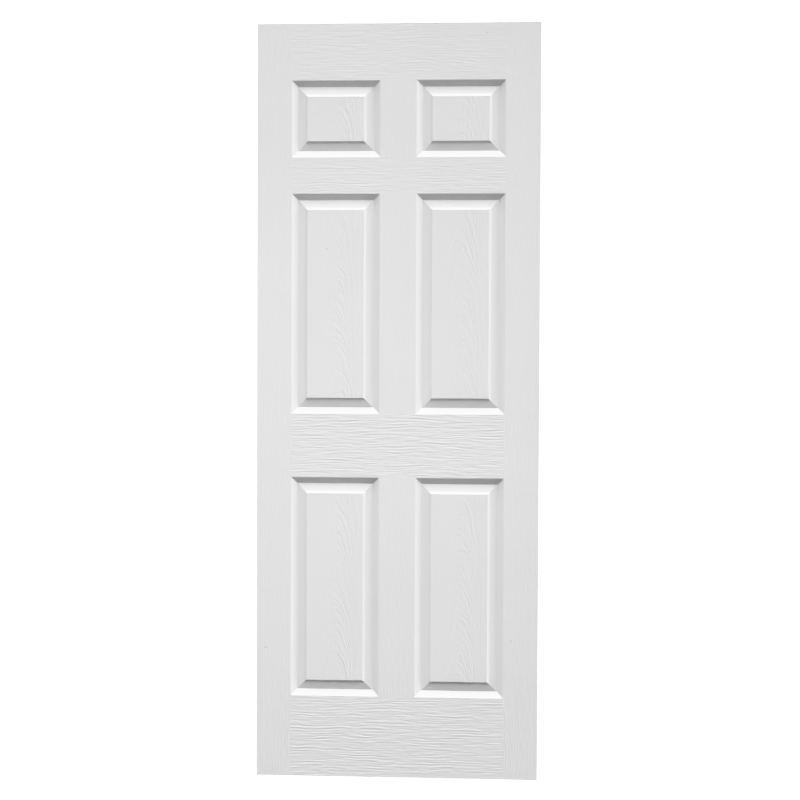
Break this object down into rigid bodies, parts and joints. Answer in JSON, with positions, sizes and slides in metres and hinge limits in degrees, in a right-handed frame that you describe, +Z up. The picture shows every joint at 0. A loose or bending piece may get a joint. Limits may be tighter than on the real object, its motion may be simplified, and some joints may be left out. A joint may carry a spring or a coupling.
{
  "type": "hollow core door",
  "caption": "Moulded panel door leaf with a hollow core: two pressed skins over a softwood frame, lock blocks and paper honeycomb, unbored.",
  "frame": {"origin": "middle of the leaf's bottom edge, half way through its thickness", "axes": "+Z up the leaf, +X across it from the hinge edge to the lock edge, -Y out of the front face"},
  "size_m": [0.762, 0.035, 2.032],
  "materials": {
    "primed_skin": "white primed hardboard with embossed grain, satin",
    "softwood": "planed pine, unfinished",
    "block_wood": "sawn softwood, unfinished",
    "honeycomb_paper": "brown kraft paper",
    "staple_steel": "galvanised wire"
  },
  "bodies": {
    "root": {"front_skin": "primed_skin", "back_skin": "primed_skin", "hinge_stile": "softwood", "lock_stile": "softwood", "top_rail": "softwood", "bottom_rail": "softwood", "lock_side_block": "block_wood", "hinge_side_block": "block_wood", "honeycomb_core": "honeycomb_paper", "corner_staples": "staple_steel"}
  },
  "joints": []
}
